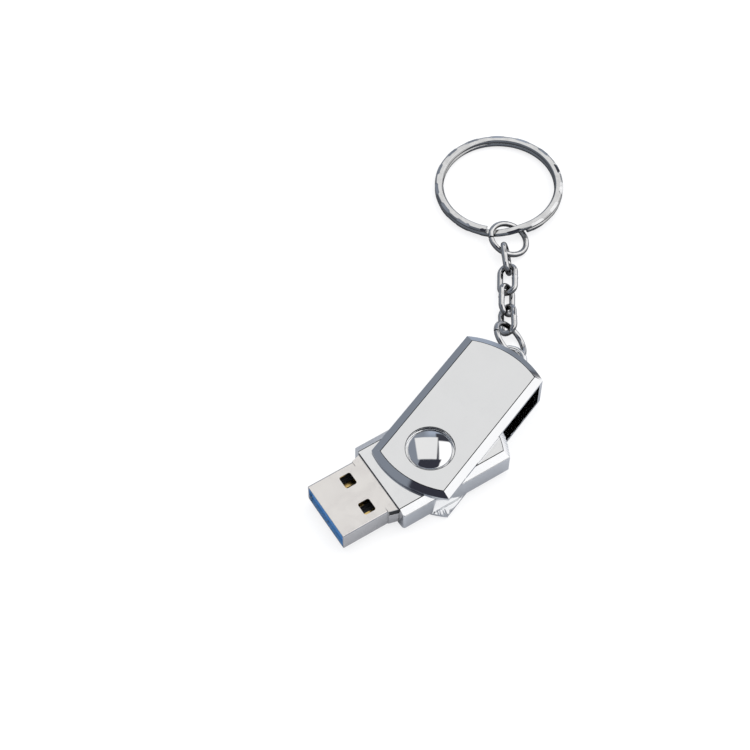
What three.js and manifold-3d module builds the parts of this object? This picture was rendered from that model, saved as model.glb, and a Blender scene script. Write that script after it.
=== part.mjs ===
// A swivel-cover USB flash drive on a key chain, in millimetres, +Z up.
// The origin is the swivel axis at the underside of the cover. +X runs along the cover to its eyelet.
// The drive is shown swung out of the cover, and the chain and split ring lie on the same surface.
import * as THREE from "three";
import { ConvexGeometry } from "three/addons/geometries/ConvexGeometry.js";
import { mergeVertices } from "three/addons/utils/BufferGeometryUtils.js";
import Module from "manifold-3d";

const wasm = await Module();
wasm.setup();

// Driving dimensions.
const cover = {
  thickness: 8.0,
  halfWidth: 8.35,
  plate: 1.1,
  pivotCorner: -6.2,
  eyeletCorner: 24.0,
  endBulge: 2.25,
  bevelWidth: 1.5,
  bevelHeight: 0.55,
  wallStart: 23.0,
  wall: 0.8,
  domeHole: 8.8,
  studRecess: 5.2,
};
const eyelet = { centreX: 26.2, radius: 2.65, wire: 1.1, height: 4.0, start: 25.5 };
const drive = {
  swing: 158.27,
  clearance: 0.1,
  halfWidth: 8.22,
  mouth: 10.8,
  mouthHalf: 6.9,
  mouthHigh: 2.47,
  mouthCut: 0.3,
  farCorner: -11.75,
  farBulge: 2.3,
  bevelWidth: 1.4,
  bevelHeight: 0.9,
  lowBevel: 0.35,
  wall: 1.0,
  floor: 0.8,
  studHole: 1.35,
  stemHole: 2.05,
  ribs: 9,
  ribPitch: 1.75,
  ribRadius: 0.78,
  ribReach: 0.42,
};
const pivot = {
  domeRadius: 4.05,
  domeRim: 0.85,
  domeRise: 0.52,
  domeStem: 2.0,
  studHead: 2.3,
  studStem: 1.3,
};
const plug = {
  width: 12.0,
  height: 4.5,
  sheet: 0.32,
  tip: 21.86,
  neckEnd: 12.7,
  neckWidth: 10.9,
  back: 4.0,
  flareFrom: 12.75,
  flareTo: 10.6,
  flareHalf: 6.6,
  holeAlong: 2.3,
  holeAcross: 2.6,
  holeAt: 15.27,
  holeSide: 3.1,
};
const collar = { thickness: 0.7, gap: 0.1 };
const board = { from: -9.9, to: 3.8, half: 6.2, thickness: 0.6, below: 1.0 };
const contact = { from: 12.66, to: 20.26, half: 0.5, thickness: 0.12, offsets: [-3.5, -1.0, 1.0, 3.5] };
const spring = { from: 8.66, to: 11.96, half: 0.35, height: 0.5, pitch: 2.0, count: 5 };
const jumpRing = { radius: 3.7, wire: 1.1 };
const link = { length: 7.4, width: 4.2, wire: 1.15 };
const splitRing = { radius: 11.95, section: 1.7, turn: 0.86, gap: 0.1, crossover: 38 };

const middle = cover.thickness / 2;
const bodyLow = cover.plate + drive.clearance;
const bodyHigh = cover.thickness - bodyLow;
const lidLow = bodyHigh - drive.bevelHeight;
const touch = 0.05;
const boardLow = middle - board.below;
const boardHigh = boardLow + board.thickness;
const tongueLow = middle - plug.height / 2 + plug.sheet + touch;
const tongueHigh = middle - 0.1;

const finishes = {
  chrome: { color: 0xd9dadb, roughness: 0.08, metalness: 1.0 },
  satinNickel: { color: 0xe2e3e4, roughness: 0.16, metalness: 1.0 },
  plugSteel: { color: 0xd8d2cd, roughness: 0.22, metalness: 1.0 },
  ringSteel: { color: 0xc4c6c8, roughness: 0.12, metalness: 1.0 },
  blackPlastic: { color: 0x18191b, roughness: 0.5, metalness: 0.0 },
  bluePlastic: { color: 0x2f7fcb, roughness: 0.42, metalness: 0.0 },
  gold: { color: 0xd9b45f, roughness: 0.25, metalness: 1.0 },
  board: { color: 0x1d5a37, roughness: 0.55, metalness: 0.0 },
  chip: { color: 0x1b1c1f, roughness: 0.6, metalness: 0.0 },
  ceramic: { color: 0xb59b7a, roughness: 0.5, metalness: 0.0 },
  canSteel: { color: 0xb9bcc0, roughness: 0.3, metalness: 1.0 },
};

const part = new THREE.Group();
const driveGroup = new THREE.Group();
driveGroup.rotation.z = THREE.MathUtils.degToRad(drive.swing);
part.add(driveGroup);

function add(name, geometry, finish, group = part) {
  const mesh = new THREE.Mesh(geometry, new THREE.MeshStandardMaterial(finishes[finish]));
  mesh.name = name;
  group.add(mesh);
  return mesh;
}

// Booleans.
function solid(geometry) {
  const bare = geometry.clone();
  bare.deleteAttribute("normal");
  bare.deleteAttribute("uv");
  const merged = mergeVertices(bare, 1e-4);
  return new wasm.Manifold(
    new wasm.Mesh({
      numProp: 3,
      vertProperties: merged.attributes.position.array,
      triVerts: new Uint32Array(merged.index.array),
    }),
  );
}

function geometryOf(manifold) {
  const mesh = manifold.getMesh();
  const geometry = new THREE.BufferGeometry();
  geometry.setAttribute("position", new THREE.BufferAttribute(mesh.vertProperties, 3));
  geometry.setIndex(new THREE.BufferAttribute(mesh.triVerts, 1));
  geometry.computeVertexNormals();
  return geometry;
}

// Shapes that several pieces use.
function box(x0, x1, y0, y1, z0, z1) {
  const geometry = new THREE.BoxGeometry(x1 - x0, y1 - y0, z1 - z0);
  geometry.translate((x0 + x1) / 2, (y0 + y1) / 2, (z0 + z1) / 2);
  return geometry;
}

function cylinder(radius, z0, z1, x = 0, y = 0, sides = 48) {
  const geometry = new THREE.CylinderGeometry(radius, radius, z1 - z0, sides);
  geometry.rotateX(Math.PI / 2);
  geometry.translate(x, y, (z0 + z1) / 2);
  return geometry;
}

// The arc that bulges outwards by `bulge` over a straight end of half width `half`.
function bulgeArc(cornerX, half, bulge, outwards) {
  const radius = (half * half + bulge * bulge) / (2 * bulge);
  const centreX = cornerX + outwards * (bulge - radius);
  return { centreX, radius, angle: Math.asin(half / radius) };
}

// Sides are straight and the ends bow outwards. An inset outline keeps the ends' curvature.
function bowedOutline({ left, right, half, leftBulge, rightBulge, inset = 0 }) {
  const shape = new THREE.Shape();
  const y = half - inset;
  const flatter = (y / half) ** 2;
  const shift = inset * 0.37;
  if (rightBulge) {
    const arc = bulgeArc(right - shift, y, rightBulge * flatter, 1);
    shape.absarc(arc.centreX, 0, arc.radius, -arc.angle, arc.angle, false);
  } else {
    shape.moveTo(right, -y);
    shape.lineTo(right, y);
  }
  const arc = bulgeArc(left + shift, y, leftBulge * flatter, -1);
  shape.absarc(arc.centreX, 0, arc.radius, Math.PI - arc.angle, Math.PI + arc.angle, false);
  return shape;
}

// A bar along X whose four long edges are cut off at 45 degrees. Its two ends may differ in half width.
function chamferedBar(x0, x1, half0, half1, high, cut) {
  const points = [];
  for (const [x, half] of [[x0, half0], [x1, half1]]) {
    for (const side of [-1, 1]) {
      for (const level of [-1, 1]) {
        points.push(new THREE.Vector3(x, side * half, middle + level * (high - cut)));
        points.push(new THREE.Vector3(x, side * (half - cut), middle + level * high));
      }
    }
  }
  return solid(new ConvexGeometry(points));
}

// A plate bevelled all round, above and below.
function bevelledPlate(sides, z0, z1, width, height, lowHeight = height, curveSegments = 14) {
  const rim = bowedOutline(sides).getPoints(curveSegments);
  const face = bowedOutline({ ...sides, inset: width }).getPoints(curveSegments);
  const at = (points, z) => points.map((p) => new THREE.Vector3(p.x, p.y, z));
  return new ConvexGeometry([
    ...at(face, z0),
    ...at(rim, z0 + lowHeight),
    ...at(rim, z1 - height),
    ...at(face, z1),
  ]);
}

function prism(outline, z0, z1, curveSegments = 14) {
  const geometry = new THREE.ExtrudeGeometry(outline, {
    depth: z1 - z0,
    bevelEnabled: false,
    curveSegments,
  });
  geometry.translate(0, 0, z0);
  return geometry;
}

// Swivel cover: one die casting, two plates joined by the end wall at the eyelet.
const coverSides = {
  left: cover.pivotCorner,
  right: cover.eyeletCorner,
  half: cover.halfWidth,
  leftBulge: cover.endBulge,
  rightBulge: cover.endBulge,
};

function eyeletLoop() {
  const loop = new THREE.TorusGeometry(eyelet.radius, eyelet.wire / 2, 12, 40);
  loop.translate(eyelet.centreX, 0, eyelet.height);
  const outside = box(eyelet.start, eyelet.centreX + 5, -5, 5, 0, cover.thickness);
  return solid(loop).intersect(solid(outside));
}

function swivelCover() {
  const block = solid(
    bevelledPlate(coverSides, 0, cover.thickness, cover.bevelWidth, cover.bevelHeight),
  );
  const slot = solid(cylinder(cover.wallStart, cover.plate, cover.thickness - cover.plate, 0, 0, 120));
  const domeHole = solid(cylinder(cover.domeHole / 2, middle, cover.thickness + 1));
  const studRecess = solid(cylinder(cover.studRecess / 2, cover.plate / 2, middle));
  const end = bulgeArc(cover.eyeletCorner, cover.halfWidth, cover.endBulge, 1);
  const [low, high] = [cover.plate, cover.thickness - cover.plate];
  const pocket = solid(cylinder(end.radius - cover.wall, low, high, end.centreX, 0, 96));
  const shell = block.subtract(slot.add(pocket)).subtract(domeHole).subtract(studRecess);
  return geometryOf(shell.add(eyeletLoop()));
}

// Drive body: a tray and its lid, split where the lid's bevel starts.
const bodySides = {
  left: drive.farCorner,
  right: drive.mouth + 5,
  half: drive.halfWidth,
  leftBulge: drive.farBulge,
  rightBulge: 0,
};

function bodyBlock() {
  const { bevelWidth, bevelHeight, lowBevel } = drive;
  const long = bevelledPlate(bodySides, bodyLow, bodyHigh, bevelWidth, bevelHeight, lowBevel);
  return solid(long).intersect(solid(box(-30, drive.mouth, -20, 20, 0, 20)));
}

function innerRoom(z0, z1) {
  const half = drive.halfWidth - drive.wall - 0.3;
  const outline = bowedOutline({
    left: drive.farCorner + drive.wall + 0.2,
    right: drive.mouth - drive.wall,
    half,
    leftBulge: drive.farBulge - 0.6,
    rightBulge: 0,
  });
  return solid(prism(outline, z0, z1));
}

function plugOpening() {
  const half = drive.mouthHalf;
  return chamferedBar(plug.back - 0.4, drive.mouth + 3, half, half, drive.mouthHigh, drive.mouthCut);
}

function ribFlutes() {
  const arc = bulgeArc(drive.farCorner, drive.halfWidth, drive.farBulge, -1);
  const flutes = [];
  for (let i = 0; i < drive.ribs; i += 1) {
    const angle = ((i - (drive.ribs - 1) / 2) * drive.ribPitch) / arc.radius;
    const reach = arc.radius + drive.ribReach;
    const x = arc.centreX - reach * Math.cos(angle);
    const y = reach * Math.sin(angle);
    flutes.push(solid(cylinder(drive.ribRadius, bodyLow + drive.lowBevel, lidLow, x, y, 20)));
  }
  return flutes;
}

function lowerShell() {
  let tray = bodyBlock().intersect(solid(box(-30, 30, -20, 20, 0, lidLow)));
  tray = tray.subtract(innerRoom(bodyLow + drive.floor, 20)).subtract(plugOpening());
  tray = tray.subtract(solid(cylinder(drive.studHole, 0, 3, 0, 0, 32)));
  for (const flute of ribFlutes()) tray = tray.subtract(flute);
  return geometryOf(tray);
}

function upperShell() {
  let lid = bodyBlock().intersect(solid(box(-30, 30, -20, 20, lidLow + touch, 20)));
  lid = lid.subtract(innerRoom(lidLow - 1, lidLow + 0.25)).subtract(plugOpening());
  lid = lid.subtract(solid(cylinder(drive.stemHole, 0, 20, 0, 0, 40)));
  return geometryOf(lid);
}

function pivotDome() {
  const radius = pivot.domeRadius;
  const rise = pivot.domeRise;
  const seat = bodyHigh + touch;
  const edge = seat + pivot.domeRim;
  const foot = lidLow + 0.3;
  const sphere = (radius * radius + rise * rise) / (2 * rise);
  const profile = [new THREE.Vector2(0, foot), new THREE.Vector2(pivot.domeStem, foot)];
  profile.push(new THREE.Vector2(pivot.domeStem, seat), new THREE.Vector2(radius, seat));
  const steps = 8;
  for (let i = 0; i <= steps; i += 1) {
    const angle = Math.asin(radius / sphere) * (1 - i / steps);
    const height = edge + rise - sphere + sphere * Math.cos(angle);
    profile.push(new THREE.Vector2(sphere * Math.sin(angle), height));
  }
  const dome = new THREE.LatheGeometry(profile, 48);
  return dome.rotateX(Math.PI / 2);
}

function pivotStud() {
  const low = cover.plate / 2 + touch;
  const head = solid(cylinder(pivot.studHead, low, bodyLow - touch, 0, 0, 40));
  const stem = solid(cylinder(pivot.studStem, low + 0.2, bodyLow + drive.floor + 0.5, 0, 0, 32));
  return geometryOf(head.add(stem));
}

// Plug: a folded steel shell around the insulator, flared where it enters the body's mouth.
function plugShell() {
  const half = plug.height / 2;
  const inner = half - plug.sheet;
  const side = plug.width / 2;
  const neck = plug.neckWidth / 2;
  let shell = solid(box(plug.neckEnd, plug.tip, -side, side, middle - half, middle + half));
  shell = shell.add(solid(box(plug.back, plug.neckEnd + 0.1, -neck, neck, middle - half, middle + half)));
  shell = shell.add(chamferedBar(plug.flareTo, plug.flareFrom, plug.flareHalf, side, half, drive.mouthCut));
  const bore = neck - plug.sheet;
  shell = shell.subtract(solid(box(0, 30, -bore, bore, middle - inner, middle + inner)));
  const wide = side - plug.sheet;
  const room = box(plug.neckEnd + plug.sheet, 30, -wide, wide, middle - inner, middle + inner);
  shell = shell.subtract(solid(room));
  for (const y of [-plug.holeSide, plug.holeSide]) {
    const hole = box(
      plug.holeAt - plug.holeAlong / 2,
      plug.holeAt + plug.holeAlong / 2,
      y - plug.holeAcross / 2,
      y + plug.holeAcross / 2,
      0,
      10,
    );
    shell = shell.subtract(solid(hole));
  }
  return geometryOf(shell);
}

function plugCollar() {
  const half = drive.mouthHalf - collar.gap;
  const high = drive.mouthHigh - collar.gap;
  const front = plug.flareTo - collar.gap;
  const neck = plug.neckWidth / 2 + touch;
  const inner = plug.height / 2 + touch;
  const outer = chamferedBar(front - collar.thickness, front, half, half, high, drive.mouthCut);
  const hole = solid(box(0, 30, -neck, neck, middle - inner, middle + inner));
  return geometryOf(outer.subtract(hole));
}

function tongue() {
  const half = plug.neckWidth / 2 - plug.sheet - touch;
  const wide = plug.width / 2 - plug.sheet - touch;
  const front = plug.tip - 0.5;
  const bar = solid(box(plug.back + 1, front, -half, half, tongueLow, tongueHigh));
  const nose = solid(box(plug.neckEnd + plug.sheet + 0.1, front, -wide, wide, tongueLow, tongueHigh));
  return geometryOf(bar.add(nose));
}

function boardCarrier() {
  const half = drive.halfWidth - drive.wall - 0.6;
  const low = bodyLow + drive.floor + touch;
  const high = boardLow - touch;
  const [from, to] = [board.from - 0.3, board.to - 0.2];
  const outer = solid(box(from, to, -half, half, low, high));
  const room = solid(box(from + 1, to - 1, -half + 1, half - 1, 0, 10));
  return geometryOf(outer.subtract(room));
}

function buildDrive() {
  add("body_lower_shell", lowerShell(), "satinNickel", driveGroup);
  add("body_upper_shell", upperShell(), "satinNickel", driveGroup);
  add("pivot_dome", pivotDome(), "chrome", driveGroup);
  add("pivot_stud", pivotStud(), "chrome", driveGroup);
  add("usb_shell", plugShell(), "plugSteel", driveGroup);
  add("plug_collar", plugCollar(), "blackPlastic", driveGroup);
  add("usb_insulator", tongue(), "bluePlastic", driveGroup);
  add("board_carrier", boardCarrier(), "blackPlastic", driveGroup);
  const sheet = box(board.from, board.to, -board.half, board.half, boardLow, boardHigh);
  add("circuit_board", sheet, "board", driveGroup);
  buildContacts();
  buildElectronics();
}

function buildContacts() {
  const low = tongueHigh + 0.02;
  contact.offsets.forEach((y, i) => {
    const { from, to, half, thickness } = contact;
    const strip = box(from, to, y - half, y + half, low, low + thickness);
    add(`contact_${i + 1}`, strip, "gold", driveGroup);
  });
  for (let i = 0; i < spring.count; i += 1) {
    const y = (i - (spring.count - 1) / 2) * spring.pitch;
    const { from, to, half, height } = spring;
    const blade = box(from, to, y - half, y + half, low, low + height);
    add(`fast_contact_${i + 1}`, blade, "gold", driveGroup);
  }
}

function buildElectronics() {
  const top = boardHigh + touch;
  add("memory_chip", box(-9.4, -1.8, -5.6, 5.6, top, top + 1.0), "chip", driveGroup);
  add("controller_chip", box(-0.9, 3.3, -4.4, 0.4, top, top + 0.8), "chip", driveGroup);
  add("crystal", box(-0.6, 2.4, 1.8, 3.4, top, top + 0.7), "canSteel", driveGroup);
  for (let i = 0; i < 4; i += 1) {
    const x = -0.7 + i * 1.15;
    add(`capacitor_${i + 1}`, box(x, x + 0.6, 4.4, 5.4, top, top + 0.5), "ceramic", driveGroup);
  }
}

// Chain: rings and links, each turned about its own heading.
class LinkCurve extends THREE.Curve {
  getPoint(t, target = new THREE.Vector3()) {
    const radius = (link.width - link.wire) / 2;
    const straight = (link.length - link.wire) / 2 - radius;
    const arc = Math.PI * radius;
    let s = ((t % 1) + 1) % 1 * (4 * straight + 2 * arc);
    if (s < 2 * straight) return target.set(s - straight, -radius, 0);
    s -= 2 * straight;
    if (s < arc) {
      const a = s / radius - Math.PI / 2;
      return target.set(straight + radius * Math.cos(a), radius * Math.sin(a), 0);
    }
    s -= arc;
    if (s < 2 * straight) return target.set(straight - s, radius, 0);
    const a = (s - 2 * straight) / radius + Math.PI / 2;
    return target.set(-straight + radius * Math.cos(a), radius * Math.sin(a), 0);
  }
}

// Heading turns the piece about Z, pitch raises its far end, and roll raises its left side.
function lay(name, geometry, finish, { at, heading, roll, pitch = 0 }) {
  const holder = new THREE.Group();
  holder.position.set(...at);
  holder.rotation.order = "ZYX";
  holder.rotation.z = THREE.MathUtils.degToRad(heading);
  holder.rotation.y = -THREE.MathUtils.degToRad(pitch);
  holder.rotation.x = THREE.MathUtils.degToRad(roll);
  part.add(holder);
  return add(name, geometry, finish, holder);
}

function buildChain() {
  const ring = new THREE.TorusGeometry(jumpRing.radius, jumpRing.wire / 2, 12, 44);
  const oval = new THREE.TubeGeometry(new LinkCurve(), 44, link.wire / 2, 12, true);
  lay("lower_jump_ring", ring, "ringSteel", {
    at: [30.41, 2.69, 3.23],
    heading: 32.7,
    roll: 42.8,
    pitch: -16.1,
  });
  const links = [
    { at: [34.61, 5.97, 2.16], heading: 35.5, roll: -42.1, pitch: -6 },
    { at: [38.57, 8.75, 1.8], heading: 33, roll: 45 },
    { at: [42.67, 11.31, 1.8], heading: 33, roll: -25 },
    { at: [46.54, 14.14, 2.03], heading: 39.8, roll: 72.2 },
  ];
  links.forEach((place, i) => lay(`chain_link_${i + 1}`, oval, "ringSteel", place));
  lay("upper_jump_ring", ring, "ringSteel", {
    at: [50.98, 16.56, 1.73],
    heading: 35.8,
    roll: 17.7,
    pitch: -0.6,
  });
}

// Split ring: flat wire in two turns. Between its ends the wire crosses from the low turn to the high.
class SplitCurve extends THREE.Curve {
  getPoint(t, target = new THREE.Vector3()) {
    const half = splitRing.crossover / 2;
    const degrees = half + t * (720 - 2 * half);
    const ramp = THREE.MathUtils.smoothstep(degrees, 360 - half, 360 + half);
    const a = THREE.MathUtils.degToRad(degrees);
    const z = splitRing.turn / 2 + (splitRing.turn + splitRing.gap) * ramp;
    return target.set(splitRing.radius * Math.cos(a), splitRing.radius * Math.sin(a), z);
  }
}

function splitRingWire() {
  const high = splitRing.turn / 2;
  const wide = splitRing.section / 2;
  const cut = 0.16;
  const section = new THREE.Shape();
  section.moveTo(-high, -wide + cut);
  section.lineTo(-high, wide - cut);
  section.lineTo(-high + cut, wide);
  section.lineTo(high - cut, wide);
  section.lineTo(high, wide - cut);
  section.lineTo(high, -wide + cut);
  section.lineTo(high - cut, -wide);
  section.lineTo(-high + cut, -wide);
  return new THREE.ExtrudeGeometry(section, {
    steps: 150,
    extrudePath: new SplitCurve(),
    bevelEnabled: false,
  });
}

function buildSplitRing() {
  const towardChain = -138.8;
  const lift = 2.38;
  const sideways = 1.25;
  const tilted = new THREE.Group();
  tilted.position.set(60.97, 25.52, 0.69);
  tilted.rotation.order = "ZYX";
  tilted.rotation.z = THREE.MathUtils.degToRad(towardChain);
  tilted.rotation.y = -THREE.MathUtils.degToRad(lift);
  tilted.rotation.x = THREE.MathUtils.degToRad(sideways);
  part.add(tilted);
  add("split_ring", splitRingWire(), "ringSteel", tilted);
}

add("swivel_cover", swivelCover(), "satinNickel");
buildDrive();
buildChain();
buildSplitRing();

export default part;
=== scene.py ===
import math

import bmesh
import bpy
from mathutils import Matrix, Vector


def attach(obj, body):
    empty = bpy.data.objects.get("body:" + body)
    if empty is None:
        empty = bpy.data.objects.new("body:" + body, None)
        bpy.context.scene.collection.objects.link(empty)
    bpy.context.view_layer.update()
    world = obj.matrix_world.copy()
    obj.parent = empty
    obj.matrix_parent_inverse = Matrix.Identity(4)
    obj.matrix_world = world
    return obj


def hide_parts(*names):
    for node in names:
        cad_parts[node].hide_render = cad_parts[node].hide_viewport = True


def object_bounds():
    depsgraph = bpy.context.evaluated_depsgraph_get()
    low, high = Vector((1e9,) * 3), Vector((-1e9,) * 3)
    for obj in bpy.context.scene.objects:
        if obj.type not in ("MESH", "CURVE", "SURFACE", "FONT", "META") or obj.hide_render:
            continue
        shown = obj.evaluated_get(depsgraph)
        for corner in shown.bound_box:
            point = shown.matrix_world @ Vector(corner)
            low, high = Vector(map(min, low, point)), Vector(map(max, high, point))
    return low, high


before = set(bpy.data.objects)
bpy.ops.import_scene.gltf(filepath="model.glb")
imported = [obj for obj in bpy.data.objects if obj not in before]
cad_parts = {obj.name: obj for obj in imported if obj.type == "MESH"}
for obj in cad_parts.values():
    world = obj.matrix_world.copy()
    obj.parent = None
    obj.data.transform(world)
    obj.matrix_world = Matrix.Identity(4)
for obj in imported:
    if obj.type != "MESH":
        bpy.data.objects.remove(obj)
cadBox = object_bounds()
mm = 0.001  # shapes are drawn in millimetres and scaled once, when a piece is finished
up = (0, 0, 1)
cornerAngle = math.radians(14)
print("frame loaded:", len(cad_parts), "nodes")


# Small helpers for shapes.
def newObject(name, bm):
    mesh = bpy.data.meshes.new(name)
    bm.to_mesh(mesh)
    bm.free()
    obj = bpy.data.objects.new(name, mesh)
    bpy.context.scene.collection.objects.link(obj)
    return obj


def boxMesh(low, high):
    bm = bmesh.new()
    size = [b - a for a, b in zip(low, high)]
    middle = [(a + b) / 2 for a, b in zip(low, high)]
    bmesh.ops.create_cube(bm, size=1.0)
    bmesh.ops.scale(bm, vec=size, verts=bm.verts)
    bmesh.ops.translate(bm, vec=middle, verts=bm.verts)
    return bm


def roundEdges(bm, edges, width, segments=4):
    bmesh.ops.bevel(bm, geom=edges, offset=width, affect="EDGES", segments=segments,
                    profile=0.5, material=-1, clamp_overlap=True)


def edgesAlong(bm, axis):
    # the straight edges that run along one axis: 0, 1 or 2
    return [e for e in bm.edges
            if abs((e.verts[0].co - e.verts[1].co).normalized()[axis]) > 0.99]


def roundedBox(low, high, radius, axis=0, segments=5):
    bm = boxMesh(low, high)
    roundEdges(bm, edgesAlong(bm, axis), radius, segments)
    return bm


def spinProfile(points, steps=96):
    # points are (radius, height), from the axis out and back, or one closed ring
    bm = bmesh.new()
    verts = [bm.verts.new((x, 0, z)) for x, z in points]
    for a, b in zip(verts, verts[1:]):
        bm.edges.new((a, b))
    bmesh.ops.spin(bm, geom=bm.verts[:] + bm.edges[:], cent=(0, 0, 0), axis=up,
                   angle=math.tau, steps=steps, use_merge=True)
    bmesh.ops.remove_doubles(bm, verts=bm.verts, dist=1e-4)
    bmesh.ops.recalc_face_normals(bm, faces=bm.faces)
    return bm


def arcPoints(centre, radius, start, end, steps):
    # points of an arc, with the angles in degrees
    turn = [math.radians(start + (end - start) * i / steps) for i in range(steps + 1)]
    return [(centre[0] + radius * math.cos(a), centre[1] + radius * math.sin(a)) for a in turn]


def combine(obj, others, operation="DIFFERENCE"):
    for other in others:
        step = obj.modifiers.new("combine", "BOOLEAN")
        step.object = other
        step.operation = operation
        step.solver = "EXACT"
    made = bpy.data.meshes.new_from_object(obj.evaluated_get(bpy.context.evaluated_depsgraph_get()))
    obj.modifiers.clear()
    obj.data = made
    for other in others:
        bpy.data.objects.remove(other)
    return obj


def finishPiece(name, shape, look, body, nodes=(), turn=Matrix(), edge=None, crisp=None):
    # edge is the small radius in millimetres that every corner gets, but for those that crisp picks
    obj = newObject(name, shape) if isinstance(shape, bmesh.types.BMesh) else shape
    obj.name = name
    bm = bmesh.new()
    bm.from_mesh(obj.data)
    bmesh.ops.remove_doubles(bm, verts=bm.verts, dist=1e-4)
    bmesh.ops.dissolve_degenerate(bm, edges=bm.edges, dist=2e-3)
    bmesh.ops.recalc_face_normals(bm, faces=bm.faces)
    for face in bm.faces:
        face.smooth = True
    weight = bm.edges.layers.float.new("bevel_weight_edge")
    for e in bm.edges:
        sharp = e.calc_face_angle(0) > cornerAngle
        e.smooth = not (sharp and crisp and crisp(e))
        e[weight] = float(sharp and e.smooth)
    bmesh.ops.transform(bm, matrix=Matrix.Scale(mm, 4) @ turn, verts=bm.verts)
    bm.to_mesh(obj.data)
    bm.free()
    for material in look if isinstance(look, (list, tuple)) else [look]:
        obj.data.materials.append(material)
    if edge:
        soft = obj.modifiers.new("softEdges", "BEVEL")
        soft.width = edge * mm
        soft.segments = 3
        soft.limit_method = "WEIGHT"
    even = obj.modifiers.new("evenNormals", "WEIGHTED_NORMAL")
    even.weight = 50
    even.keep_sharp = True
    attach(obj, body)
    if nodes:
        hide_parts(*nodes)
    return obj


# Shared shader groups.
def addNode(tree, kind, inputs=None, **settings):
    node = tree.nodes.new(kind)
    for key, value in settings.items():
        setattr(node, key, value)
    for socket, value in (inputs or {}).items():
        if isinstance(value, bpy.types.NodeSocket):
            tree.links.new(value, node.inputs[socket])
        else:
            node.inputs[socket].default_value = value
    return node


def math2(tree, operation, a, b=0.0, clamp=False):
    return addNode(tree, "ShaderNodeMath", {0: a, 1: b}, operation=operation, use_clamp=clamp).outputs[0]


def remap(tree, value, fromLow, fromHigh, toLow=0.0, toHigh=1.0, smooth=False):
    kind = "SMOOTHSTEP" if smooth else "LINEAR"
    inputs = {"Value": value, "From Min": fromLow, "From Max": fromHigh,
              "To Min": toLow, "To Max": toHigh}
    return addNode(tree, "ShaderNodeMapRange", inputs, interpolation_type=kind).outputs["Result"]


def mixColour(tree, factor, a, b):
    node = addNode(tree, "ShaderNodeMix", {0: factor, 6: a, 7: b}, data_type="RGBA")
    return node.outputs[2]


def newGroup(name, inputs, outputs):
    tree = bpy.data.node_groups.new(name, "ShaderNodeTree")
    for label, kind, value in inputs:
        socket = tree.interface.new_socket(label, in_out="INPUT", socket_type=kind)
        if value is not None:
            socket.default_value = value
    for label, kind in outputs:
        tree.interface.new_socket(label, in_out="OUTPUT", socket_type=kind)
    return tree, tree.nodes.new("NodeGroupInput").outputs, tree.nodes.new("NodeGroupOutput").inputs


def makeHandlingMarks():
    # smudges from fingers, hairline scratches and a fine grain
    tree, given, made = newGroup(
        "handlingMarks",
        [("Vector", "NodeSocketVector", None), ("Smudge Scale", "NodeSocketFloat", 120.0),
         ("Scratch Scale", "NodeSocketFloat", 500.0), ("Grain Scale", "NodeSocketFloat", 6000.0)],
        [("Smudge", "NodeSocketFloat"), ("Scratch", "NodeSocketFloat"), ("Grain", "NodeSocketFloat")])
    smudge = addNode(tree, "ShaderNodeTexNoise",
                     {"Vector": given["Vector"], "Scale": given["Smudge Scale"], "Detail": 5.0,
                      "Roughness": 0.62, "Distortion": 0.6})
    tree.links.new(remap(tree, smudge.outputs[0], 0.34, 0.68, smooth=True), made["Smudge"])
    lines = []
    for angle, stretch in ((24, 34.0), (-61, 46.0)):
        turned = addNode(tree, "ShaderNodeMapping",
                         {"Vector": given["Vector"], "Rotation": (0, 0, math.radians(angle)),
                          "Scale": (1.0, stretch, 1.0)})
        line = addNode(tree, "ShaderNodeTexNoise",
                       {"Vector": turned.outputs[0], "Scale": given["Scratch Scale"], "Detail": 2.0})
        lines.append(remap(tree, line.outputs[0], 0.66, 0.72))
    tree.links.new(math2(tree, "MAXIMUM", *lines), made["Scratch"])
    grain = addNode(tree, "ShaderNodeTexNoise",
                    {"Vector": given["Vector"], "Scale": given["Grain Scale"], "Detail": 3.0})
    tree.links.new(grain.outputs[0], made["Grain"])
    return tree


def makeEdgeWear():
    # 1 on worn corners: where a rounded normal leaves the true one, broken up by noise
    tree, given, made = newGroup(
        "edgeWear",
        [("Vector", "NodeSocketVector", None), ("Radius", "NodeSocketFloat", 0.0002),
         ("Break Up", "NodeSocketFloat", 900.0)],
        [("Mask", "NodeSocketFloat")])
    rounded = addNode(tree, "ShaderNodeBevel", {"Radius": given["Radius"]}, samples=4)
    plain = addNode(tree, "ShaderNodeNewGeometry")
    same = addNode(tree, "ShaderNodeVectorMath", {0: rounded.outputs[0], 1: plain.outputs["Normal"]},
                   operation="DOT_PRODUCT")
    edge = remap(tree, same.outputs["Value"], 0.995, 0.90)
    noise = addNode(tree, "ShaderNodeTexNoise", {"Vector": given["Vector"], "Scale": given["Break Up"]})
    broken = remap(tree, noise.outputs[0], 0.35, 0.62)
    tree.links.new(math2(tree, "MULTIPLY", edge, broken, clamp=True), made["Mask"])
    return tree


handlingMarks = makeHandlingMarks()
edgeWear = makeEdgeWear()


def newMaterial(name):
    material = bpy.data.materials.new(name)
    material.use_nodes = True
    tree = material.node_tree
    shader = tree.nodes["Principled BSDF"]
    place = addNode(tree, "ShaderNodeTexCoord").outputs["Object"]
    return material, tree, shader, place


def useGroup(tree, group, place, **values):
    node = addNode(tree, "ShaderNodeGroup", node_tree=group)
    tree.links.new(place, node.inputs["Vector"])
    for key, value in values.items():
        node.inputs[key.replace("_", " ")].default_value = value
    return node.outputs


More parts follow.
